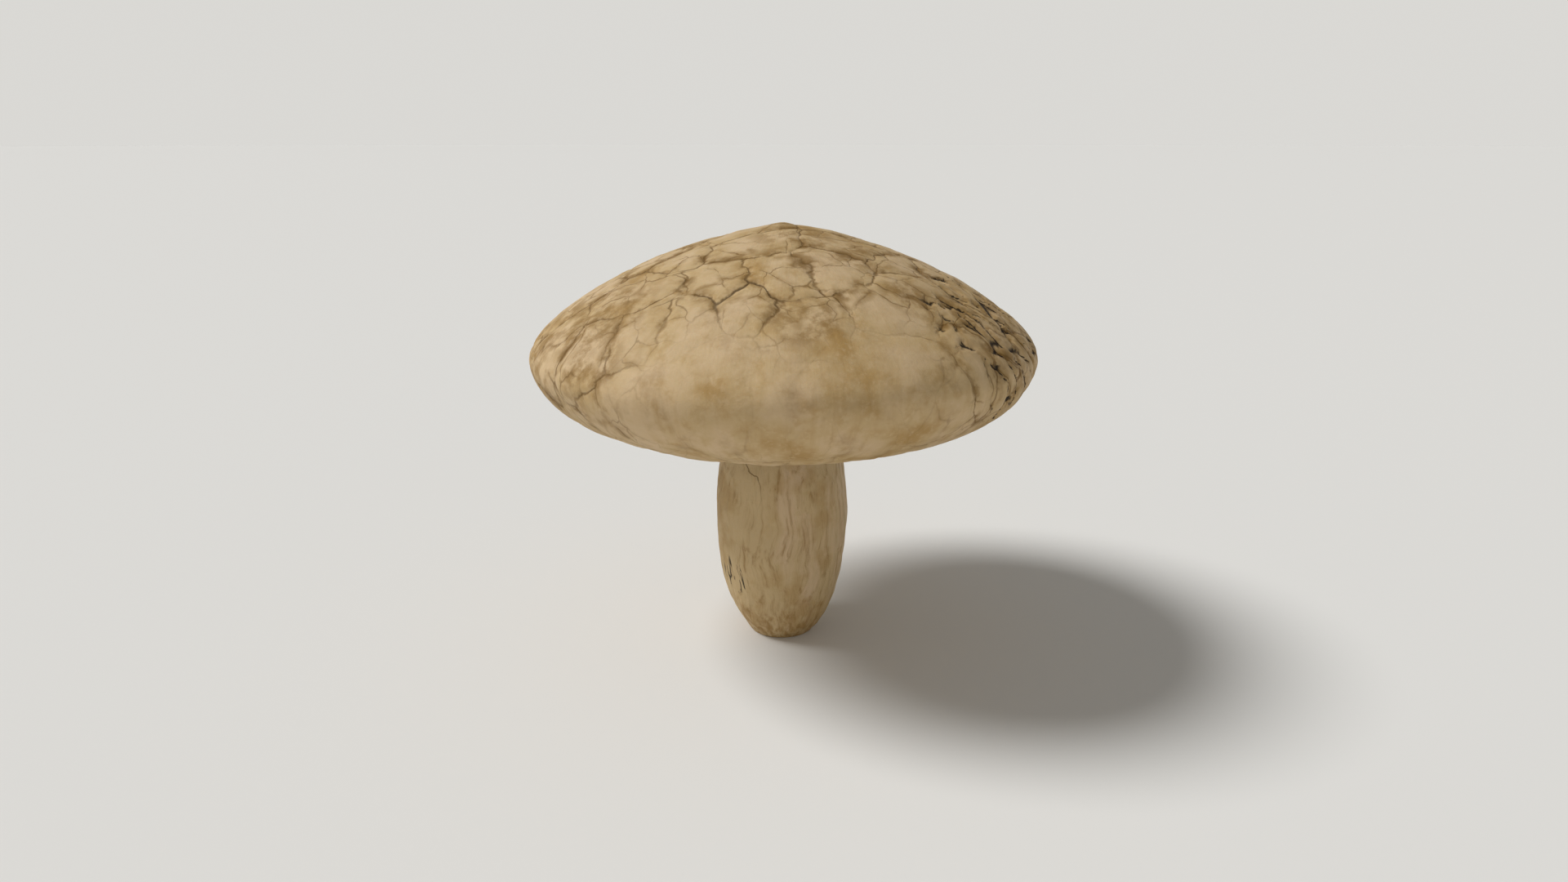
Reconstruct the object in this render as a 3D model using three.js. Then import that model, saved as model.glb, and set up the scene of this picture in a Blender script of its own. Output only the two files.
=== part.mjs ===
// A fresh shiitake mushroom, picked and trimmed, standing on the cut end of its stem.
// Millimetres, +Z up. The origin is the centre of the flat cut end, on the surface it rests on.
// Cap, gills and stem grow as one body of flesh, so the mushroom is one solid turned about Z.

import * as THREE from 'three';

// Cap
const capDiameter = 60; // across the widest ring, the rim
const crownHeight = 14.7; // from the rim up to the apex
const marginDepth = 8.5; // from the rim down to the margin's lowest ring
const marginTurnIn = 10.2; // from the rim inwards to the margin's lowest ring

// Underside, where the gills hang inside the turned-in margin
const lipWidth = 1.7; // from the margin's lowest ring inwards to the first gills
const gillRecess = 1.5; // gill edges above the margin's lowest ring
const gillSag = 0.7; // the gill edges hang this much lower midway between lip and stem
const gillNotch = 1.4; // the gill edges rise this much where they meet the stem

// Stem
const stemLength = 28; // from the cut end up to the margin's lowest ring
const stemDiameter = 16.4; // at the belly
const bellyHeight = 15.2; // from the cut end up to the belly
const neckDiameter = 12.8; // where the stem runs into the cap
const neckFillet = 1.8; // between the neck and the gills
const cutDiameter = 8; // of the flat that the knife left

// Shape of the curves, as shares of the sizes that they join
const crownSpread = 0.6; // how far the apex stays nearly level, of the cap's radius
const crownSlope = 0.13; // fall of the skin right at the apex, rise over run
const rimRise = 0.2; // upright part of the skin above the rim, of the crown's height
const rimDrop = 0.65; // upright part of the skin below the rim, of the margin's depth
const lowestRingSpread = 0.28; // level part at the margin's lowest ring, of its turn-in
const bellySpread = 0.54; // upright part of the stem on each side of the belly

// How finely the outline is divided and turned
const pointsPerCurve = 6;
const crownPoints = 12;
const segments = 64;

// Levels and radii that follow from the sizes
const capRadius = capDiameter / 2;
const lowestRingRadius = capRadius - marginTurnIn;
const lipRadius = lowestRingRadius - lipWidth;
const stemRadius = stemDiameter / 2;
const neckRadius = neckDiameter / 2;
const cutRadius = cutDiameter / 2;

const lowestRingLevel = stemLength;
const rimLevel = lowestRingLevel + marginDepth;
const apexLevel = rimLevel + crownHeight;
const gillLevel = lowestRingLevel + gillRecess;
const gillRootLevel = gillLevel + gillNotch;

function addCurve(outline, handleA, handleB, end, divisions = pointsPerCurve) {
  const start = outline.at(-1);
  const [a, b, c] = [handleA, handleB, end].map(([r, z]) => new THREE.Vector2(r, z));
  const curve = new THREE.CubicBezierCurve(start, a, b, c);
  outline.push(...curve.getPoints(divisions).slice(1));
}

// The flat cut end, then a barrel that is fullest at the belly and narrows to the neck
function addStem(outline) {
  const neckLevel = gillRootLevel - neckFillet;
  const below = bellySpread * bellyHeight;
  const above = bellySpread * (neckLevel - bellyHeight);
  outline.push(new THREE.Vector2(0, 0), new THREE.Vector2(cutRadius, 0));
  addCurve(
    outline,
    [cutRadius + (stemRadius - cutRadius) / 2, bellyHeight / 6],
    [stemRadius, bellyHeight - below],
    [stemRadius, bellyHeight],
  );
  addCurve(
    outline,
    [stemRadius, bellyHeight + above],
    [neckRadius, neckLevel - above / 2],
    [neckRadius, neckLevel],
  );
}

// The fillet at the neck, then the surface that touches every gill's free edge
function addGillSurface(outline) {
  const rootRadius = neckRadius + neckFillet;
  const third = (lipRadius - rootRadius) / 3;
  addCurve(
    outline,
    [neckRadius, gillRootLevel - neckFillet / 2],
    [neckRadius + neckFillet / 2, gillRootLevel],
    [rootRadius, gillRootLevel],
  );
  addCurve(
    outline,
    [rootRadius + third, gillLevel - gillSag],
    [lipRadius - third, gillLevel - gillSag],
    [lipRadius, gillLevel],
  );
}

// The thick margin: it turns under to its lowest ring, then rises outwards to the rim
function addMargin(outline) {
  addCurve(
    outline,
    [lipRadius, gillLevel - gillRecess / 2],
    [lowestRingRadius - lipWidth / 2, lowestRingLevel],
    [lowestRingRadius, lowestRingLevel],
  );
  addCurve(
    outline,
    [lowestRingRadius + lowestRingSpread * marginTurnIn, lowestRingLevel],
    [capRadius, rimLevel - rimDrop * marginDepth],
    [capRadius, rimLevel],
  );
}

// The domed crown, which rises to a slightly pointed apex on the axis
function addCrown(outline) {
  const spread = crownSpread * capRadius;
  addCurve(
    outline,
    [capRadius, rimLevel + rimRise * crownHeight],
    [spread, apexLevel - crownSlope * spread],
    [0, apexLevel],
    crownPoints,
  );
}

function makeFruitBody() {
  const outline = [];
  addStem(outline);
  addGillSurface(outline);
  addMargin(outline);
  addCrown(outline);
  const geometry = new THREE.LatheGeometry(outline, segments);
  // The lathe turns about +Y; the mushroom stands along +Z.
  geometry.rotateX(Math.PI / 2);
  return geometry;
}

const skin = new THREE.MeshStandardMaterial({ color: 0xcdb993, roughness: 0.72, metalness: 0 });

const fruitBody = new THREE.Mesh(makeFruitBody(), skin);
fruitBody.name = 'fruit_body';

const mushroom = new THREE.Group();
mushroom.add(fruitBody);

export default mushroom;
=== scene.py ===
"""A fresh shiitake mushroom, standing on the trimmed end of its stem.

The CAD solid gives the outline. Around it this script models three pieces in metres: the cap with
its cracked skin, the gills under it and the stem. Sizes written here are in millimetres times MM.
"""

import math
import random

import bpy
from mathutils import Matrix, Vector


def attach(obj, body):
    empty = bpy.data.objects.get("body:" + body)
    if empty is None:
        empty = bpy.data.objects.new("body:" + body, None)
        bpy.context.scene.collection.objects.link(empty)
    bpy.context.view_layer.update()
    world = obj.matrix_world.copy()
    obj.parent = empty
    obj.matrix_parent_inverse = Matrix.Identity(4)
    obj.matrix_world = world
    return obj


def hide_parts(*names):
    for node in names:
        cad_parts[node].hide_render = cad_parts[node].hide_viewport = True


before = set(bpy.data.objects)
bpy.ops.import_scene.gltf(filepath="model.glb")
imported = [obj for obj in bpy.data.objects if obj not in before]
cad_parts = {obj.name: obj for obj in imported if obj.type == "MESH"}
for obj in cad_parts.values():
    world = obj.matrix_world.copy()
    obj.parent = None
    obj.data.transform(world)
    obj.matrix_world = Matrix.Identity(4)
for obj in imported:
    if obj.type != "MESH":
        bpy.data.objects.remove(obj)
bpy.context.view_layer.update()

MM = 0.001
FRUIT_BODY = "fruit_body"
SKIN_MAP = "OFBake"

# Mesh fineness
CAP_SIDES = 56
CAP_RING_GAP = 2.5 * MM
STEM_SIDES = 40
STEM_RING_GAP = 2.0 * MM
FINE_LEVELS = 3
NEARLY_ZERO = 1e-6

# The hollow under the cap that the gills fill. Its wall rises inside the lip, leans inwards and
# rounds into a ceiling that climbs a little towards the axis.
GILL_DEPTH = 4.6 * MM
LIP_WALL = 0.1 * MM
LIP_WALL_RISE = 0.35 * GILL_DEPTH
HOLLOW_TAPER = 1.4 * MM
CORNER_WIDTH = 1.6 * MM
CORNER_HEIGHT = 0.5 * MM
CEILING_CLIMB_TO_STEM = 0.6 * MM
CEILING_CLIMB_TO_AXIS = 0.8 * MM

# What the apex is raised by, because smoothing the surface lowers it
APEX_ALLOWANCE = 0.1 * MM

# Gills, in the order that they are made: the kind, how many, where they start between stem (0)
# and lip (1), and how far they are turned round the stem, in gaps between two of their kind
GILL_TIERS = (
    ("long", 48, 0.0, 0.5),
    ("middle", 48, 0.38, 0.0),
    ("short", 96, 0.66, 0.25),
)
GILL_STEPS = 9
GILL_EDGE_STEPS = 3
GILL_SHADING_ANGLE = 40

# How far a blade may be out of its place, in gaps, and how much thinner it gets at its free edge
GILL_JITTER = 0.12
GILL_THICKNESS = 0.3 * MM
GILL_EDGE_THINNING = 0.65

# How far the blades run into the cap and the stem, and how far they stay back from the lip
GILL_SINK = 0.25 * MM
GILL_REACH_INTO_STEM = 0.6 * MM
GILL_GAP_AT_LIP = 0.05 * MM

# How a blade's inner end is cut away: the share of its depth, and of its length
LONG_GILL_NOTCH = (0.55, 0.22)
SHORT_GILL_NOTCH = (0.75, 0.28)

# The stem stands a little to the left of the cap's axis. Its top narrows and is sunk in the cap's
# flesh, and the outline's last few points, where the solid flares into the gills, are left out.
STEM_SHIFT = -0.3 * MM
STEM_SINK = 1.0 * MM
STEM_TOP_SHARE = 0.9
FLARE_POINTS = 4

# The rings on the cut end, as shares of its radius, and how sharp its edge stays
CUT_RING_SHARES = (0.45, 0.9)
CUT_EDGE_SHARPNESS = 0.9

SEED = 7


# ---------------------------------------------------------------- outline of the CAD solid

# What an outline point holds
RADIUS = 0
LEVEL = 1


def solid_outline(node):
    """(radius, height) points of the turned solid, from the cut end round the margin to the apex."""
    flat = 10 * NEARLY_ZERO
    heights = {}
    links = {}
    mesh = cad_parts[node].data
    for edge in mesh.edges:
        ends = [mesh.vertices[index].co for index in edge.vertices]
        if all(abs(end.y) < flat and end.x > -flat for end in ends):
            keys = [(round(end.x, 6), round(end.z, 6)) for end in ends]
            for key, end in zip(keys, ends):
                heights[key] = (max(end.x, 0.0), end.z)
            links.setdefault(keys[0], set()).add(keys[1])
            links.setdefault(keys[1], set()).add(keys[0])
    key = min(heights, key=lambda item: (round(item[0], 4), item[1]))
    walked = [key]
    while True:
        ahead = [other for other in links[key] if other not in walked]
        if not ahead:
            break
        key = ahead[0]
        walked.append(key)
    return [heights[key] for key in walked]


def lengths_along(points):
    """How far along the line of points each one is."""
    total = 0.0
    found = [total]
    for here, there in zip(points, points[1:]):
        total += math.dist(here, there)
        found.append(total)
    return found


def evenly_spaced(points, gap):
    """The same line with points about gap apart, its first and last kept."""
    lengths = lengths_along(points)
    count = max(2, round(lengths[-1] / gap))
    found = []
    at = 0
    for step in range(count + 1):
        wanted = lengths[-1] * step / count
        while at < len(lengths) - 2 and lengths[at + 1] < wanted:
            at += 1
        share = (wanted - lengths[at]) / (lengths[at + 1] - lengths[at])
        here, there = points[at], points[at + 1]
        found.append(tuple(a + (b - a) * share for a, b in zip(here, there)))
    return found


def pushed_out(points):
    """Rings that meet the line again once a subdivided surface has smoothed them.

    The smooth surface runs through (before + 4 * here + after) / 6, so each ring is moved the
    other way by as much.
    """
    found = [points[0]]
    for before, here, after in zip(points, points[1:], points[2:]):
        found.append(tuple(h - (b - 2 * h + a) / 6 for b, h, a in zip(before, here, after)))
    found.append(points[-1])
    return found


OUTLINE = solid_outline(FRUIT_BODY)
RIM_INDEX = max(range(len(OUTLINE)), key=lambda index: OUTLINE[index][RADIUS])
CAP_INDEXES = [i for i, point in enumerate(OUTLINE) if point[RADIUS] > OUTLINE[RIM_INDEX][RADIUS] / 2]
LOWEST_RING_INDEX = min(CAP_INDEXES, key=lambda index: OUTLINE[index][LEVEL])


def turning_points():
    """Indexes of the outline where the gill surface starts at the stem and ends at the lip."""
    highest = max(point[LEVEL] for point in OUTLINE[:LOWEST_RING_INDEX])
    root = next(i for i, point in enumerate(OUTLINE) if highest - point[LEVEL] < NEARLY_ZERO)
    lip = LOWEST_RING_INDEX
    least_climb = 0.05 * MM
    while OUTLINE[lip - 1][LEVEL] > OUTLINE[lip][LEVEL] + least_climb:
        lip -= 1
    return root, lip


ROOT_INDEX, LIP_INDEX = turning_points()
APEX = OUTLINE[-1][LEVEL]
RIM_RADIUS, RIM_LEVEL = OUTLINE[RIM_INDEX]
LOWEST_RING_LEVEL = OUTLINE[LOWEST_RING_INDEX][LEVEL]
LIP_RADIUS, LIP_LEVEL = OUTLINE[LIP_INDEX]
ROOT_RADIUS, ROOT_LEVEL = OUTLINE[ROOT_INDEX]
CUT_RADIUS = OUTLINE[1][RADIUS]
NECK_RADIUS = min(point[RADIUS] for point in OUTLINE[ROOT_INDEX // 2 : ROOT_INDEX])
CEILING = LIP_LEVEL + GILL_DEPTH


def outline_at(points, measure, value):
    """Where this stretch of the outline reaches a value of its RADIUS or its LEVEL."""
    for here, there in zip(points, points[1:]):
        if here[measure] <= value <= there[measure]:
            share = (value - here[measure]) / (there[measure] - here[measure])
            return tuple(a + (b - a) * share for a, b in zip(here, there))
    return points[0] if value < points[0][measure] else points[-1]


def gill_edge_level(radius):
    """Height of the gills' free edges at this distance from the axis."""
    return outline_at(OUTLINE[ROOT_INDEX : LIP_INDEX + 1], RADIUS, radius)[LEVEL]


def turned_to(heading, radius, level):
    """A place at this heading in degrees from +X round to +Y."""
    angle = math.radians(heading)
    return Vector((radius * math.cos(angle), radius * math.sin(angle), level))


def on_cap(heading, share):
    """A place on top of the cap, this share of the way from the axis to the rim."""
    dome = OUTLINE[RIM_INDEX:][::-1]
    return turned_to(heading, *outline_at(dome, RADIUS, share * RIM_RADIUS))


def on_stem(heading, share):
    """A place on the side of the stem, this share of the way from the cut end to the cap."""
    side = OUTLINE[1 : ROOT_INDEX + 1]
    return turned_to(heading, *outline_at(side, LEVEL, share * ROOT_LEVEL))


# ---------------------------------------------------------------- places on the skin

# The front of the mushroom is at -90 degrees, its right at 0 and its left at 180.

# The patch of short, deep cracks near the rim, on the right
DEEP_CRACKS_AT = on_cap(-25, 0.9)
DEEP_CRACKS_REACH = 13.5 * MM

# Where the cracks between the plates are darkest, left of the middle of the dome
DARK_CRACKS_AT = on_cap(-104, 0.64)
DARK_CRACKS_REACH = 6.2 * MM

# Where the skin is smooth and nearly free of cracks: place and reach
PLAIN_PLACES = (
    (on_cap(-106, 0.97), 13.0 * MM),
    (on_cap(-72, 0.97), 13.0 * MM),
    (on_cap(-89, 1.0), 11.0 * MM),
    (on_cap(54, 0.86), 12.0 * MM),
    (on_cap(128, 0.93), 11.0 * MM),
)

# Where ochre has soaked into the skin: place and reach
STAINED_PLACES = (
    (on_cap(-77, 0.15), 6.5 * MM),
    (on_cap(-48, 0.4), 6.0 * MM),
    (on_cap(-84, 0.75), 5.5 * MM),
    (on_cap(-144, 0.8), 9.0 * MM),
    (on_cap(-163, 0.91), 8.0 * MM),
    (on_cap(-162, 1.0), 9.0 * MM),
    (on_cap(-134, 0.96), 6.0 * MM),
    (on_cap(-49, 0.68), 5.0 * MM),
    (on_cap(-38, 0.78), 5.0 * MM),
    (on_cap(72, 0.66), 8.0 * MM),
)

# Where thin veins show on the stem: place and reach
VEINED_PLACES = (
    (on_stem(-133, 0.76), 6.5 * MM),
    (on_stem(42, 0.62), 6.0 * MM),
    (on_stem(160, 0.45), 5.0 * MM),
)

# Where the stem's skin has split: place and reach
SPLIT_PLACES = (
    (on_stem(-143, 0.29), 3.4 * MM),
    (on_stem(65, 0.24), 3.0 * MM),
)


# ---------------------------------------------------------------- modelling by hand


def deselect_all():
    bpy.ops.object.select_all(action="DESELECT")


def make_active(piece):
    deselect_all()
    piece.select_set(True)
    bpy.context.view_layer.objects.active = piece


def named(name):
    piece = bpy.context.active_object
    piece.name = name
    piece.data.name = name
    return piece


def apply_modifiers(piece):
    make_active(piece)
    for name in [modifier.name for modifier in piece.modifiers]:
        bpy.ops.object.modifier_apply(modifier=name)


def turned_body(name, rings, sides):
    """A closed body turned about Z through these (radius, height) rings. Both ends close on the axis."""
    deselect_all()
    first_radius, first_level = rings[0]
    bpy.ops.mesh.primitive_circle_add(
        vertices=sides,
        radius=first_radius,
        location=(0, 0, first_level),
        fill_type="TRIFAN",
        calc_uvs=False,
    )
    piece = named(name)
    bpy.ops.object.transform_apply(location=True)
    bpy.ops.object.mode_set(mode="EDIT")
    bpy.ops.mesh.select_all(action="DESELECT")
    bpy.ops.mesh.select_non_manifold()
    for (radius, level), (next_radius, next_level) in zip(rings, rings[1:]):
        rise = (0, 0, next_level - level)
        bpy.ops.mesh.extrude_edges_move(TRANSFORM_OT_translate={"value": rise})
        share = next_radius / radius
        bpy.ops.transform.resize(value=(share, share, 1), center_override=(0, 0, next_level))
    bpy.ops.mesh.edge_face_add()
    bpy.ops.mesh.poke()
    bpy.ops.mesh.select_all(action="SELECT")
    bpy.ops.mesh.normals_make_consistent(inside=False)
    bpy.ops.object.mode_set(mode="OBJECT")
    return piece


def subdivide_surface(piece, levels):
    modifier = piece.modifiers.new("Fine surface", "SUBSURF")
    modifier.levels = levels
    modifier.render_levels = levels
    apply_modifiers(piece)
    bpy.ops.object.shade_smooth()


def lay_skin_map(piece, rings):
    """Spreads the skin flat, with the apex in the middle and MAP_SPAN from side to side.

    Heights count less than radii, so the pattern is drawn out where the skin is steep.
    """
    lengths = lengths_along([(radius, level * SLOPE_SHARE) for radius, level in rings])
    layer = piece.data.uv_layers.new(name=SKIN_MAP)
    for face in piece.data.polygons:
        middle = face.center
        for corner in face.loop_indices:
            spot = piece.data.vertices[piece.data.loops[corner].vertex_index].co
            radius = math.hypot(spot.x, spot.y)
            nearest = min(
                range(len(rings)),
                key=lambda index: math.dist((radius, spot.z), rings[index]),
            )
            facing = spot if radius > NEARLY_ZERO else middle
            heading = Vector((facing.x, facing.y)).normalized()
            reach = lengths[nearest] / MAP_SPAN
            layer.data[corner].uv = Vector((0.5, 0.5)) + heading * reach


# ---------------------------------------------------------------- patterns

# The share of a place's reach within which it has its full effect
FULL_SHARE = 0.35


class Graph:
    """Adds nodes to a material or to Geometry Nodes. Values are numbers, tuples or sockets."""

    def __init__(self, tree):
        self.tree = tree

    def feed(self, socket, value):
        if isinstance(value, bpy.types.NodeSocket):
            self.tree.links.new(value, socket)
        else:
            socket.default_value = value

    def add(self, kind, inputs=None, **settings):
        node = self.tree.nodes.new(kind)
        for name, value in settings.items():
            setattr(node, name, value)
        for name, value in (inputs or {}).items():
            self.feed(node.inputs[name], value)
        return node

    def math(self, operation, *values):
        node = self.add("ShaderNodeMath", operation=operation)
        for socket, value in zip(node.inputs, values):
            self.feed(socket, value)
        return node.outputs[0]

    def vector(self, operation, *values, scale=None):
        node = self.add("ShaderNodeVectorMath", operation=operation)
        for socket, value in zip(node.inputs, values):
            self.feed(socket, value)
        if scale is not None:
            self.feed(node.inputs["Scale"], scale)
        return node.outputs["Value" if operation in ("LENGTH", "DISTANCE") else "Vector"]

    def band(self, value, low, high, start=0.0, end=1.0):
        """Goes smoothly from start at low to end at high."""
        node = self.add("ShaderNodeMapRange", interpolation_type="SMOOTHSTEP")
        values = (value, low, high, start, end)
        for name, given in zip(("Value", "From Min", "From Max", "To Min", "To Max"), values):
            self.feed(node.inputs[name], given)
        return node.outputs["Result"]

    def noise(self, place, size, detail=2.0, roughness=0.5):
        """Noise about 0.5, with blotches of this size in millimetres."""
        inputs = {"Vector": place, "Scale": 1 / size, "Detail": detail, "Roughness": roughness}
        return self.add("ShaderNodeTexNoise", inputs).outputs[0]

    def bumps(self, place, size, height, detail=2.0):
        """Bumps and dips of this size, up to half of this height each way, in millimetres."""
        return self.times(self.math("SUBTRACT", self.noise(place, size, detail), 0.5), height)

    def drift(self, place, size, reach, detail=2.0):
        """The place, moved about by up to half of reach."""
        inputs = {"Vector": place, "Scale": 1 / size, "Detail": detail}
        node = self.add("ShaderNodeTexNoise", inputs)
        centred = self.vector("SUBTRACT", node.outputs["Color"], (0.5, 0.5, 0.5))
        return self.vector("ADD", place, self.vector("SCALE", centred, scale=reach))

    def seam_distance(self, place, size):
        """Distance in millimetres to the nearest border between cells of this size."""
        node = self.add(
            "ShaderNodeTexVoronoi",
            {"Vector": place, "Scale": 1 / size, "Randomness": 1.0},
            voronoi_dimensions="2D",
            feature="DISTANCE_TO_EDGE",
        )
        return self.math("MULTIPLY", node.outputs["Distance"], size)

    def near(self, place, centre, reach):
        """1 round the centre, falling smoothly to 0 at reach. The place is in millimetres."""
        away = self.vector("DISTANCE", place, tuple(centre / MM))
        return self.band(away, reach / MM * FULL_SHARE, reach / MM, 1.0, 0.0)

    def near_any(self, place, spots):
        """The most of near() for any of these pairs of a centre and a reach."""
        return self.either(*[self.near(place, centre, reach) for centre, reach in spots])

    def level_of(self, place):
        return self.add("ShaderNodeSeparateXYZ", {"Vector": place}).outputs["Z"]

    def times(self, *values):
        product = values[0]
        for value in values[1:]:
            product = self.math("MULTIPLY", product, value)
        return product

    def plus(self, *values):
        total = values[0]
        for value in values[1:]:
            total = self.math("ADD", total, value)
        return total

    def either(self, *values):
        largest = values[0]
        for value in values[1:]:
            largest = self.math("MAXIMUM", largest, value)
        return largest


# The skin's map: its span, and what a height counts beside a radius
MAP_SPAN = 132 * MM
SLOPE_SHARE = 0.5

# The skin's cracks, in millimetres. They run between plates and small plates, bend and are jagged,
# and are wider in places. PATTERN_SHIFT chooses which stretch of the endless pattern lies on the cap.
PLATE_SIZE = 7.2
SMALL_PLATE_SIZE = 3.7
DEEP_PLATE_SIZE = 2.3
PATTERN_SHIFT = (-30.0, 75.0, 0.0)
BEND_SIZE = 7.0
BEND_REACH = 5.0
JAG_SIZE = 1.5
JAG_REACH = 1.3
CRACK_WIDTH = 0.02
CRACK_WIDENING = 0.4
DARK_CRACK_WIDENING = 0.1
THIN_CRACK_WIDTH = 0.16
DEEP_CRACK_WIDTH = 0.22
DEEP_CRACK_STRETCH = (0.4, 1.15, 1.0)

# How much of the cracks is missing from plain skin, and how much is left under the rim
PLAIN_SHARE = 0.92
UNDERSIDE_SHARE = 0.3

# What widens every crack in the mesh, which is too coarse to hold the fine lines
MESH_SOFTNESS = 0.32


def skin_pattern(graph, skin, place, softness):
    """The cracks of the cap's skin, from its map and its place in millimetres.

    softness widens every crack.
    """
    shifted = graph.vector("ADD", skin, PATTERN_SHIFT)
    bent = graph.drift(shifted, BEND_SIZE, BEND_REACH)
    wandering = graph.drift(bent, JAG_SIZE, JAG_REACH, detail=4.0)
    plates = graph.seam_distance(wandering, PLATE_SIZE)
    small_plates = graph.seam_distance(wandering, SMALL_PLATE_SIZE)
    cracked = cracked_share(graph, place)

    dark = graph.near(place, DARK_CRACKS_AT, DARK_CRACKS_REACH)
    kept = graph.band(graph.noise(skin, 3.6, detail=3.0), 0.32, 0.54, 0.15, 1.0)
    shown = graph.times(graph.either(kept, dark), cracked)
    uneven = graph.times(graph.noise(skin, 1.6, detail=3.0), CRACK_WIDENING)
    width = graph.plus(uneven, CRACK_WIDTH + softness, graph.times(dark, DARK_CRACK_WIDENING))
    main = graph.times(graph.band(plates, 0.0, width, 1.0, 0.0), shown)

    patchy = graph.band(graph.noise(skin, 4.5, detail=3.0), 0.38, 0.58)
    fork = graph.band(small_plates, 0.0, THIN_CRACK_WIDTH + softness, 1.0, 0.0)
    thin = graph.times(fork, patchy, cracked)

    patch = graph.near(place, DEEP_CRACKS_AT, DEEP_CRACKS_REACH)
    return {
        "plates": plates,
        "small_plates": small_plates,
        "shown": shown,
        "main": main,
        "thin": thin,
        "deep": deep_cracks(graph, skin, wandering, patch, softness),
        "dark": dark,
        "cracked": cracked,
        "patch": patch,
    }


def cracked_share(graph, place):
    """1 where the skin is fully cracked, less in the plain places and under the rim."""
    missing = graph.times(graph.near_any(place, PLAIN_PLACES), PLAIN_SHARE)
    rim_edge = RIM_LEVEL / MM - 1.0
    level = graph.level_of(place)
    under_rim = graph.band(level, LOWEST_RING_LEVEL / MM, rim_edge, UNDERSIDE_SHARE, 1.0)
    return graph.times(graph.math("SUBTRACT", 1.0, missing), under_rim)


def deep_cracks(graph, skin, wandering, patch, softness):
    """Short, deep, dark cracks, denser towards the middle of their patch."""
    stretched = graph.vector("MULTIPLY", wandering, DEEP_CRACK_STRETCH)
    short_plates = graph.seam_distance(stretched, DEEP_PLATE_SIZE)
    rarity = graph.band(patch, 0.0, 1.0, 0.57, 0.37)
    broken = graph.band(graph.math("SUBTRACT", graph.noise(skin, 2.0, 3.0), rarity), 0.0, 0.08)
    gash = graph.band(short_plates, 0.02, DEEP_CRACK_WIDTH + softness, 1.0, 0.0)
    return graph.times(gash, broken, graph.band(patch, 0.02, 0.3))


class Relief(Graph):
    """Geometry Nodes that move each point of a piece by a height in millimetres."""

    def __init__(self, piece, name):
        super().__init__(bpy.data.node_groups.new(name, "GeometryNodeTree"))
        for way in ("INPUT", "OUTPUT"):
            self.tree.interface.new_socket("Geometry", in_out=way, socket_type="NodeSocketGeometry")
        self.piece = piece
        self.source = self.add("NodeGroupInput")
        position = self.add("GeometryNodeInputPosition").outputs[0]
        self.place = self.vector("SCALE", position, scale=1 / MM)
        modifier = piece.modifiers.new(name, "NODES")
        modifier.node_group = self.tree

    def carve(self, height, direction=None):
        """Moves the points, along their normals where no direction is given."""
        if direction is None:
            direction = self.add("GeometryNodeInputNormal").outputs[0]
        offset = self.vector("SCALE", direction, scale=self.times(height, MM))
        moved = self.add("GeometryNodeSetPosition", {"Offset": offset})
        self.tree.links.new(self.source.outputs[0], moved.inputs["Geometry"])
        result = self.add("NodeGroupOutput")
        self.tree.links.new(moved.outputs[0], result.inputs[0])
        apply_modifiers(self.piece)


def flat_skin(graph, uv):
    """The skin map in millimetres from the apex."""
    centred = graph.vector("SUBTRACT", uv, (0.5, 0.5, 0.0))
    return graph.vector("SCALE", centred, scale=MAP_SPAN / MM)


# ---------------------------------------------------------------- cap


def cap_outline():
    """The cap's outline from the apex over the rim to the lip, then up and in under the flesh."""
    skin = evenly_spaced(OUTLINE[LIP_INDEX:][::-1], CAP_RING_GAP)
    inner_radius = LIP_RADIUS - HOLLOW_TAPER
    hollow = [
        (LIP_RADIUS - LIP_WALL, LIP_LEVEL + LIP_WALL_RISE),
        (inner_radius, CEILING - CORNER_HEIGHT),
        (inner_radius - CORNER_WIDTH, CEILING),
        (ROOT_RADIUS, CEILING + CEILING_CLIMB_TO_STEM),
        (ROOT_RADIUS / 3, CEILING + CEILING_CLIMB_TO_AXIS),
    ]
    return skin + hollow


def make_cap():
    rings = pushed_out(cap_outline())
    piece = turned_body("cap", rings[1:], CAP_SIDES)
    raise_apex(piece)
    lay_skin_map(piece, rings + [(0.0, rings[-1][LEVEL])])
    subdivide_surface(piece, FINE_LEVELS)
    carve_cap(piece)
    return piece


def raise_apex(piece):
    """Lifts the middle of the first ring's fan to the apex."""
    middle = min(
        piece.data.vertices,
        key=lambda point: (round(math.hypot(point.co.x, point.co.y), 6), -point.co.z),
    )
    middle.co.z = APEX + APEX_ALLOWANCE


# Relief of the cap in millimetres: how high its plates stand and over what width they round off,
# how much lower the whole skin lies to leave room for them, and how deep each kind of crack is
PLATE_HEIGHT = 0.07
PLATE_ROUNDING = 1.8
SKIN_ROOM = 0.16
MAIN_CRACK_DEPTH = 0.09
THIN_CRACK_DEPTH = 0.03
DARK_CRACK_DEPTH = 0.1
DEEP_CRACK_DEPTH = 0.34

# How far up the skin from the lip, in millimetres, the relief fades in
SMOOTH_LIP = 4.0

# The cap's unevenness: the size and the height of its bumps, in millimetres
SWELL = (15.0, 0.6)
LUMPS = (4.0, 0.3)
SKIN_GRAIN = (0.9, 0.07)


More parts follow.
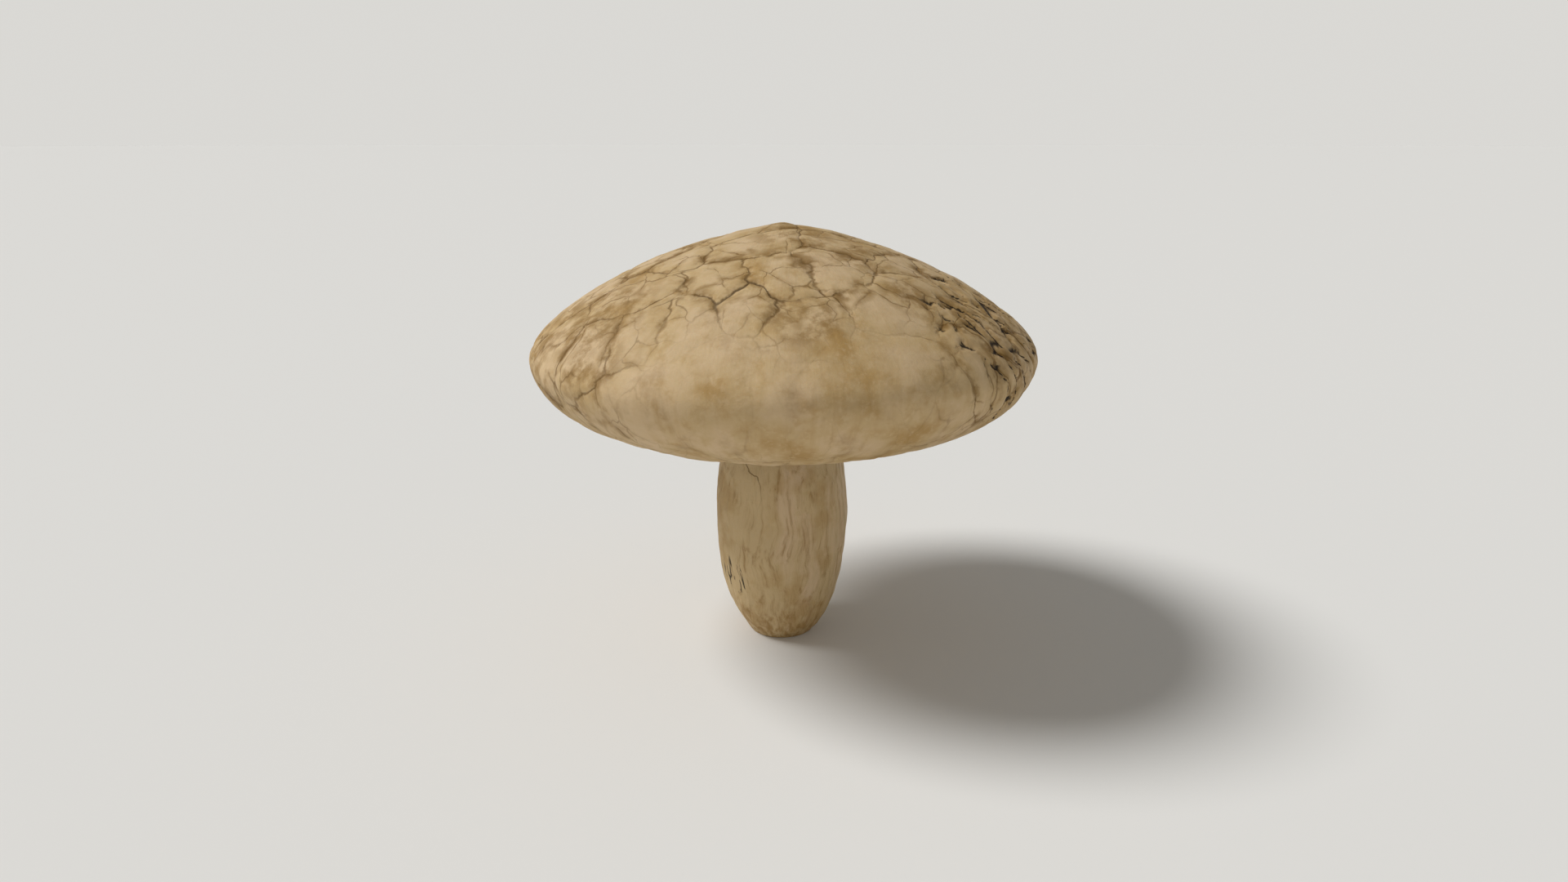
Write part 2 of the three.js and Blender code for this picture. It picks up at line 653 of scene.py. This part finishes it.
def carve_cap(piece):
    """Raises the plates, cuts the cracks between them and makes the dome slightly uneven."""
    graph = Relief(piece, "Cap relief")
    stored = graph.add(
        "GeometryNodeInputNamedAttribute", {"Name": SKIN_MAP}, data_type="FLOAT_VECTOR"
    )
    skin = flat_skin(graph, stored.outputs["Attribute"])
    cracks = skin_pattern(graph, skin, graph.place, MESH_SOFTNESS)
    reach = graph.vector("LENGTH", skin)
    lip_reach = lengths_along(OUTLINE[LIP_INDEX:])[-1] / MM
    on_skin = graph.band(reach, lip_reach - SMOOTH_LIP, lip_reach, 1.0, 0.0)
    swell = graph.bumps(graph.place, *SWELL)
    lumps = graph.bumps(graph.place, *LUMPS)
    raised = graph.times(graph.band(cracks["plates"], 0.0, PLATE_ROUNDING), PLATE_HEIGHT)
    plates = graph.math("SUBTRACT", raised, SKIN_ROOM)
    grain = graph.bumps(graph.place, *SKIN_GRAIN, detail=3.0)
    grooves = graph.plus(
        graph.times(cracks["main"], -MAIN_CRACK_DEPTH),
        graph.times(cracks["thin"], -THIN_CRACK_DEPTH),
        graph.times(cracks["dark"], cracks["main"], -DARK_CRACK_DEPTH),
        graph.times(cracks["deep"], -DEEP_CRACK_DEPTH),
    )
    graph.carve(graph.times(graph.plus(swell, lumps, plates, grain, grooves), on_skin))


# ---------------------------------------------------------------- gills

# How the blades wave: the size and the height of the waves, in millimetres
BROAD_WAVES = (6.0, 1.1)
FINE_WAVES = (1.8, 0.22)


def make_blade(name, start):
    """One gill, from its place between stem (0) and lip (1) out to the margin, standing along +X."""
    inner = NECK_RADIUS - GILL_REACH_INTO_STEM + (LIP_RADIUS - NECK_RADIUS) * start
    outer = LIP_RADIUS - GILL_GAP_AT_LIP
    notch_depth, notch_length = SHORT_GILL_NOTCH if start > 0 else LONG_GILL_NOTCH
    deselect_all()
    bpy.ops.mesh.primitive_grid_add(
        x_subdivisions=GILL_STEPS, y_subdivisions=GILL_EDGE_STEPS, size=1, calc_uvs=False
    )
    blade = named(name)
    for point in blade.data.vertices:
        along = point.co.x + 0.5
        down = 0.5 - point.co.y
        radius = inner + (outer - inner) * along
        top = CEILING + GILL_SINK + CEILING_CLIMB_TO_STEM * (1 - along)
        bottom = gill_edge_level(radius)
        bottom += (top - bottom) * notch_depth * (1 - min(1.0, along / notch_length)) ** 2
        point.co = (radius, 0, top + (bottom - top) * down)
    edge = blade.vertex_groups.new(name="Thickness")
    for point in blade.data.vertices:
        share = min(1.0, max(0.0, (CEILING + GILL_SINK - point.co.z) / GILL_DEPTH))
        edge.add([point.index], 1 - GILL_EDGE_THINNING * share, "REPLACE")
    wall = blade.modifiers.new("Thickness", "SOLIDIFY")
    wall.thickness = GILL_THICKNESS
    wall.offset = 0
    wall.vertex_group = edge.name
    apply_modifiers(blade)
    return blade


def make_gills():
    """Three kinds of blade set round the stem, each kind between the blades of the longer ones."""
    chance = random.Random(SEED)
    blades = []
    for kind, count, start, shift in GILL_TIERS:
        pattern = make_blade("gill_" + kind, start)
        for number in range(count):
            jitter = chance.uniform(-GILL_JITTER, GILL_JITTER)
            angle = 2 * math.pi * (number + shift + jitter) / count
            copy = pattern.copy()
            copy.data = pattern.data.copy()
            copy.data.transform(Matrix.Rotation(angle, 4, "Z"))
            bpy.context.scene.collection.objects.link(copy)
            blades.append(copy)
        bpy.data.objects.remove(pattern)
    deselect_all()
    for blade in blades:
        blade.select_set(True)
    bpy.context.view_layer.objects.active = blades[0]
    bpy.ops.object.join()
    piece = named("gills")
    wave_gills(piece)
    bpy.ops.object.shade_smooth_by_angle(angle=math.radians(GILL_SHADING_ANGLE))
    return piece


def wave_gills(piece):
    """Lets neighbouring blades sway together round the stem."""
    graph = Relief(piece, "Gill waves")
    sideways = graph.vector("CROSS_PRODUCT", graph.place, (0, 0, 1))
    direction = graph.vector("NORMALIZE", sideways)
    broad = graph.bumps(graph.place, *BROAD_WAVES)
    fine = graph.bumps(graph.place, *FINE_WAVES)
    graph.carve(graph.plus(broad, fine), direction)


# ---------------------------------------------------------------- stem

# The stem's fibres and hollows: their size and their height, in millimetres. The fibres are drawn
# out upwards, and both fade in over a band of heights above the cut.
FIBRES = (0.9, 0.3)
FIBRE_DRAWING = (1.0, 1.0, 0.09)
HOLLOWS = (6.0, 0.7)
ABOVE_CUT = (0.05, 1.5)


def make_stem():
    side = evenly_spaced(OUTLINE[1 : ROOT_INDEX - FLARE_POINTS], STEM_RING_GAP)
    neck_radius = side[-1][RADIUS]
    rings = [(CUT_RADIUS * share, 0.0) for share in CUT_RING_SHARES]
    rings += pushed_out(side)
    rings += [(neck_radius, CEILING), (neck_radius * STEM_TOP_SHARE, CEILING + STEM_SINK)]
    piece = turned_body("stem", rings, STEM_SIDES)
    crease_cut_edge(piece)
    subdivide_surface(piece, FINE_LEVELS)
    carve_stem(piece)
    make_active(piece)
    bpy.ops.object.mode_set(mode="EDIT")
    bpy.ops.mesh.select_all(action="SELECT")
    bpy.ops.transform.translate(value=(STEM_SHIFT, 0, 0))
    bpy.ops.object.mode_set(mode="OBJECT")
    return piece


def crease_cut_edge(piece):
    """Keeps the edge that the knife left sharp."""
    make_active(piece)
    bpy.ops.object.mode_set(mode="EDIT")
    bpy.ops.mesh.select_all(action="DESELECT")
    bpy.ops.object.mode_set(mode="OBJECT")
    nearly_all = CUT_RADIUS * 0.99
    for edge in piece.data.edges:
        ends = [piece.data.vertices[index].co for index in edge.vertices]
        edge.select = all(
            end.z < NEARLY_ZERO and math.hypot(end.x, end.y) > nearly_all for end in ends
        )
    bpy.ops.object.mode_set(mode="EDIT")
    bpy.ops.mesh.select_mode(type="EDGE")
    bpy.ops.transform.edge_crease(value=CUT_EDGE_SHARPNESS)
    bpy.ops.mesh.select_mode(type="VERT")
    bpy.ops.object.mode_set(mode="OBJECT")


def carve_stem(piece):
    """Upright fibres and shallow hollows, fading out at the flat cut."""
    graph = Relief(piece, "Stem relief")
    upright = graph.vector("MULTIPLY", graph.drift(graph.place, 5.0, 1.6), FIBRE_DRAWING)
    fibres = graph.bumps(upright, *FIBRES, detail=3.0)
    hollows = graph.bumps(graph.place, *HOLLOWS)
    above_cut = graph.band(graph.level_of(graph.place), *ABOVE_CUT)
    graph.carve(graph.times(graph.plus(fibres, hollows), above_cut))


# ---------------------------------------------------------------- finishes


def colour(text):
    """A linear colour from its usual red, green and blue in hexadecimal."""
    parts = [int(text[index : index + 2], 16) / 255 for index in (0, 2, 4)]
    linear = [part / 12.92 if part <= 0.04045 else ((part + 0.055) / 1.055) ** 2.4 for part in parts]
    return (*linear, 1.0)


CREAM = colour("bfa478")
PALE_CREAM = colour("ccb28d")
WARM_CREAM = colour("ab8a55")
OCHRE = colour("86652f")
OLIVE_BROWN = colour("6a4b18")
DARK_BROWN = colour("1c1106")
GILL_CREAM = colour("cbb48a")
GILL_TAN = colour("9b7846")
STEM_CREAM = colour("c4ab80")
STEM_TAN = colour("94703a")
FLOOR_GREY = colour("e4e3e0")
SKY_WHITE = (1.0, 0.985, 0.945, 1.0)

# How far red, green and blue light go in the flesh beside each other, and how much it shines
FLESH_REACHES = (1.0, 0.62, 0.35)
FLESH_GLOSS = 0.28


class Finish(Graph):
    """A material with one Principled shader, whose colour, roughness and bump come from patterns."""

    def __init__(self, name):
        self.material = bpy.data.materials.new(name)
        self.material.use_nodes = True
        super().__init__(self.material.node_tree)
        self.tree.nodes.clear()
        self.shader = self.add("ShaderNodeBsdfPrincipled")
        output = self.add("ShaderNodeOutputMaterial")
        self.tree.links.new(self.shader.outputs[0], output.inputs["Surface"])
        own_place = self.add("ShaderNodeTexCoord").outputs["Object"]
        self.place = self.vector("SCALE", own_place, scale=1 / MM)

    def over(self, under, top, share):
        """The colour on top, laid over the one under it by this share."""
        node = self.add("ShaderNodeMix", data_type="RGBA")
        self.feed(node.inputs["Factor"], share)
        colours = [socket for socket in node.inputs if socket.type == "RGBA"]
        self.feed(colours[0], under)
        self.feed(colours[1], top)
        return next(socket for socket in node.outputs if socket.type == "RGBA")

    def paint(self, tint, rough):
        self.feed(self.shader.inputs["Base Color"], tint)
        self.feed(self.shader.inputs["Roughness"], rough)

    def flesh(self, softness, reach):
        """The soft look of damp, slightly see-through flesh, through which red light goes furthest."""
        self.shader.inputs["Subsurface Weight"].default_value = softness
        self.shader.inputs["Subsurface Radius"].default_value = FLESH_REACHES
        self.shader.inputs["Subsurface Scale"].default_value = reach
        self.shader.inputs["Specular IOR Level"].default_value = FLESH_GLOSS

    def bump(self, height):
        """Relief too fine for the mesh. Its height is in millimetres."""
        inputs = {"Height": self.times(height, MM), "Strength": 1.0, "Distance": 1.0}
        self.feed(self.shader.inputs["Normal"], self.add("ShaderNodeBump", inputs).outputs[0])


def cap_finish():
    """Cream plates, ochre stains beside their borders and brown cracks between them."""
    finish = Finish("cap_skin")
    uv = finish.add("ShaderNodeUVMap", uv_map=SKIN_MAP).outputs[0]
    skin = flat_skin(finish, uv)
    cracks = skin_pattern(finish, skin, finish.place, softness=0.0)
    mottle = finish.noise(finish.place, 1.6, detail=4.0, roughness=0.6)
    streaks = streak_noise(finish, skin)
    soaked = finish.band(finish.noise(finish.place, 3.4, detail=4.0, roughness=0.6), 0.44, 0.62)
    stain = cap_stains(finish, cracks, soaked)

    tint = cap_ground(finish, cracks, mottle, streaks)
    tint = finish.over(tint, OCHRE, finish.times(stain, 0.78))
    tint = cap_crack_tint(finish, tint, cracks, soaked)
    finish.paint(tint, finish.plus(finish.times(mottle, 0.2), 0.6, finish.times(stain, 0.08)))

    grain = finish.noise(finish.place, 0.35, detail=3.0, roughness=0.6)
    relief = finish.plus(
        finish.times(cracks["main"], -0.06),
        finish.times(cracks["thin"], -0.03),
        finish.times(cracks["deep"], -0.2),
        finish.times(mottle, 0.05),
        finish.times(grain, 0.028),
        finish.times(streaks, 0.05),
    )
    finish.bump(relief)
    finish.flesh(0.12, 1.2 * MM)
    return finish.material


def cap_ground(finish, cracks, mottle, streaks):
    """The cream of the skin: cloudy, mottled and streaked, and palest in the middle of a plate."""
    cloud = finish.noise(finish.place, 7.0, detail=4.0, roughness=0.55)
    tint = finish.over(CREAM, PALE_CREAM, finish.band(cloud, 0.45, 0.7))
    tint = finish.over(tint, WARM_CREAM, finish.band(cloud, 0.48, 0.28))
    tint = finish.over(tint, WARM_CREAM, finish.times(finish.band(mottle, 0.46, 0.72), 0.5))
    fleck = finish.noise(finish.place, 0.6, detail=3.0, roughness=0.6)
    tint = finish.over(tint, PALE_CREAM, finish.times(finish.band(fleck, 0.5, 0.7), 0.35))
    tint = finish.over(tint, WARM_CREAM, finish.times(finish.band(streaks, 0.5, 0.75), 0.35))
    middle = finish.band(cracks["plates"], 0.9, 2.6)
    pale = finish.times(middle, finish.band(cloud, 0.3, 0.6), 0.6)
    return finish.over(tint, PALE_CREAM, pale)


def cap_stains(finish, cracks, soaked):
    """How much ochre the skin has taken up: along its cracks, in blotches and in certain places."""
    beside = finish.band(cracks["plates"], 0.0, 1.7, 1.0, 0.0)
    fringe = finish.band(cracks["small_plates"], 0.0, 0.9, 0.8, 0.0)
    seams = finish.times(finish.either(beside, fringe), soaked, cracks["cracked"])
    blotch = finish.band(finish.noise(finish.place, 7.0, detail=5.0, roughness=0.62), 0.55, 0.7)
    ragged = finish.band(finish.noise(finish.place, 2.4, detail=5.0, roughness=0.66), 0.38, 0.62)
    return finish.either(
        seams,
        finish.times(blotch, 0.45),
        finish.times(finish.near_any(finish.place, STAINED_PLACES), ragged),
        finish.times(cracks["patch"], ragged, 0.8),
    )


def cap_crack_tint(finish, tint, cracks, soaked):
    """Lays an olive halo, the brown lines and the darkest cracks over the skin's colour."""
    halo = finish.band(cracks["plates"], 0.0, 1.15, 1.0, 0.0)
    tint = finish.over(tint, OLIVE_BROWN, finish.times(halo, cracks["shown"], soaked, 0.5))
    tint = finish.over(tint, OLIVE_BROWN, finish.times(cracks["thin"], 0.62))
    tint = finish.over(tint, OLIVE_BROWN, finish.times(cracks["main"], 0.7))
    darkest = finish.either(cracks["deep"], finish.times(cracks["dark"], cracks["main"], 0.55))
    return finish.over(tint, DARK_BROWN, finish.times(darkest, 0.95))


def streak_noise(graph, skin):
    """Fine streaks that run from the apex down the slopes."""
    heading = graph.vector("NORMALIZE", skin)
    reach = graph.vector("LENGTH", skin)
    round_the_cap = graph.vector("SCALE", heading, scale=24.0)
    down = graph.add("ShaderNodeCombineXYZ", {"Z": graph.times(reach, 0.14)}).outputs[0]
    return graph.noise(graph.vector("ADD", round_the_cap, down), 1.0, detail=4.0, roughness=0.6)


def gill_finish():
    """Cream blades, a little browner towards their free edges."""
    finish = Finish("gill_flesh")
    height = finish.level_of(finish.place)
    cloud = finish.noise(finish.place, 5.0, detail=4.0)
    speck = finish.noise(finish.place, 0.8, detail=3.0)
    edge = finish.band(height, CEILING / MM - 2.0, LIP_LEVEL / MM, 0.0, 0.55)
    tint = finish.over(GILL_CREAM, GILL_TAN, finish.times(edge, finish.band(cloud, 0.3, 0.7)))
    tint = finish.over(tint, PALE_CREAM, finish.times(finish.band(speck, 0.5, 0.75), 0.4))
    finish.paint(tint, finish.plus(finish.times(speck, 0.2), 0.55))
    finish.bump(finish.times(speck, 0.05))
    finish.flesh(0.2, 1.0 * MM)
    return finish.material


def stem_finish():
    """Cream with upright tan fibres, a few thin veins, small dark splits and a pale cut end."""
    finish = Finish("stem_skin")
    wandering = finish.drift(finish.place, 6.0, 2.6)
    upright = finish.vector("MULTIPLY", wandering, (1.0, 1.0, 0.07))
    fibres = finish.noise(upright, 0.6, detail=5.0, roughness=0.62)
    broad = finish.noise(upright, 2.6, detail=2.0)
    height = finish.level_of(finish.place)
    speck = finish.noise(finish.place, 0.5, detail=3.0)
    cloud = finish.noise(finish.place, 5.0, detail=4.0, roughness=0.6)

    tint = finish.over(STEM_CREAM, PALE_CREAM, finish.band(broad, 0.5, 0.7))
    tint = finish.over(tint, WARM_CREAM, finish.times(finish.band(cloud, 0.45, 0.65), 0.6))
    tint = finish.over(tint, STEM_TAN, finish.times(finish.band(fibres, 0.46, 0.72), 0.5))
    tint = finish.over(tint, OCHRE, finish.times(finish.band(fibres, 0.56, 0.72), cloud, 0.7))

    veins = vein_lines(finish)
    tint = finish.over(tint, OLIVE_BROWN, finish.times(veins, 0.7))
    low = finish.band(height, 9.0, 0.5)
    tint = finish.over(tint, STEM_TAN, finish.times(low, finish.band(fibres, 0.35, 0.6), 0.6))
    splits = stem_splits(finish, fibres)
    tint = finish.over(tint, DARK_BROWN, finish.times(splits, 0.85))

    pores = finish.noise(finish.place, 0.45, detail=4.0, roughness=0.7)
    cut = finish.over(PALE_CREAM, GILL_TAN, finish.times(finish.band(pores, 0.5, 0.7), 0.5))
    tint = finish.over(tint, cut, finish.band(height, 0.09, 0.02))
    finish.paint(tint, finish.plus(finish.times(fibres, 0.25), 0.5))
    relief = finish.plus(
        finish.times(fibres, 0.16),
        finish.times(veins, -0.05),
        finish.times(splits, -0.25),
        finish.times(speck, 0.03),
    )
    finish.bump(relief)
    finish.flesh(0.15, 1.2 * MM)
    return finish.material


def vein_lines(graph):
    """Thin winding lines where a soft pattern crosses its middle value."""
    wandering = graph.drift(graph.place, 1.5, 0.7, detail=3.0)
    drawn_up = graph.vector("MULTIPLY", wandering, (1.0, 1.0, 0.5))
    away = graph.math("ABSOLUTE", graph.math("SUBTRACT", graph.noise(drawn_up, 4.0, 1.0), 0.5))
    line = graph.band(away, 0.002, 0.014, 1.0, 0.0)
    return graph.times(line, graph.near_any(graph.place, VEINED_PLACES))


def stem_splits(graph, fibres):
    """Short dark splits between the fibres."""
    shown = graph.band(graph.near_any(graph.place, SPLIT_PLACES), 0.2, 0.7)
    return graph.times(graph.band(fibres, 0.56, 0.6), shown)


# ---------------------------------------------------------------- camera, light and floor

# The camera: how many degrees it looks down, the height it looks at, how far off it is, and its
# lens and sensor in millimetres
CAMERA_ELEVATION = 16
TARGET_LEVEL = 24.7 * MM
CAMERA_DISTANCE = 131.4 * MM
LENS = 24.44
SENSOR_WIDTH = 36

# The studio: the floor's radius in metres, how bright the sky is near the horizon and overhead and
# between which heights it changes, and the key light's direction, strength and width in degrees
FLOOR_RADIUS = 8.0
FLOOR_SIDES = 96
HORIZON_LIGHT = 0.7
OVERHEAD_LIGHT = 0.2
SKY_BAND = (0.12, 0.6)
KEY_DIRECTION = Vector((-0.63, 0.04, 0.78))
KEY_STRENGTH = 2.6
KEY_WIDTH = 22


def looking_along(direction):
    """The turn that points a camera or a lamp this way."""
    return direction.to_track_quat("-Z", "Y").to_euler()


def make_camera():
    """Looks down a little at the middle of the mushroom from in front."""
    elevation = math.radians(CAMERA_ELEVATION)
    back = Vector((0, -math.cos(elevation), math.sin(elevation)))
    data = bpy.data.cameras.new("camera")
    data.sensor_width = SENSOR_WIDTH
    data.lens = LENS
    data.clip_start = 1 * MM
    data.clip_end = 2.5 * FLOOR_RADIUS
    camera = bpy.data.objects.new("camera", data)
    camera.location = Vector((0, 0, TARGET_LEVEL)) + back * CAMERA_DISTANCE
    camera.rotation_euler = looking_along(-back)
    bpy.context.scene.collection.objects.link(camera)
    bpy.context.scene.camera = camera


def make_key_light():
    """A distant light from the upper left, wide enough to give a soft shadow."""
    data = bpy.data.lights.new("key", "SUN")
    data.energy = KEY_STRENGTH
    data.angle = math.radians(KEY_WIDTH)
    lamp = bpy.data.objects.new("key", data)
    lamp.rotation_euler = looking_along(-KEY_DIRECTION)
    bpy.context.scene.collection.objects.link(lamp)


def make_floor():
    deselect_all()
    bpy.ops.mesh.primitive_circle_add(vertices=FLOOR_SIDES, radius=FLOOR_RADIUS, fill_type="NGON")
    floor = named("studio_floor")
    finish = Finish("studio_floor")
    finish.paint(FLOOR_GREY, 1.0)
    finish.shader.inputs["Specular IOR Level"].default_value = 0.1
    floor.data.materials.append(finish.material)


def make_sky():
    """Pale near the horizon, where it meets the floor, and dimmer overhead."""
    world = bpy.data.worlds.new("studio")
    world.use_nodes = True
    sky = Graph(world.node_tree)
    rise = sky.level_of(sky.add("ShaderNodeTexCoord").outputs["Generated"])
    background = world.node_tree.nodes["Background"]
    background.inputs["Color"].default_value = SKY_WHITE
    sky.feed(background.inputs["Strength"], sky.band(rise, *SKY_BAND, HORIZON_LIGHT, OVERHEAD_LIGHT))
    bpy.context.scene.world = world
    bpy.context.scene.view_settings.view_transform = "Standard"


# ---------------------------------------------------------------- the whole mushroom


def place_in_frame(piece, material):
    piece.data.materials.clear()
    piece.data.materials.append(material)
    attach(piece, "root")
    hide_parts(FRUIT_BODY)


make_camera()
make_floor()
make_sky()
make_key_light()
place_in_frame(make_cap(), cap_finish())
place_in_frame(make_gills(), gill_finish())
place_in_frame(make_stem(), stem_finish())
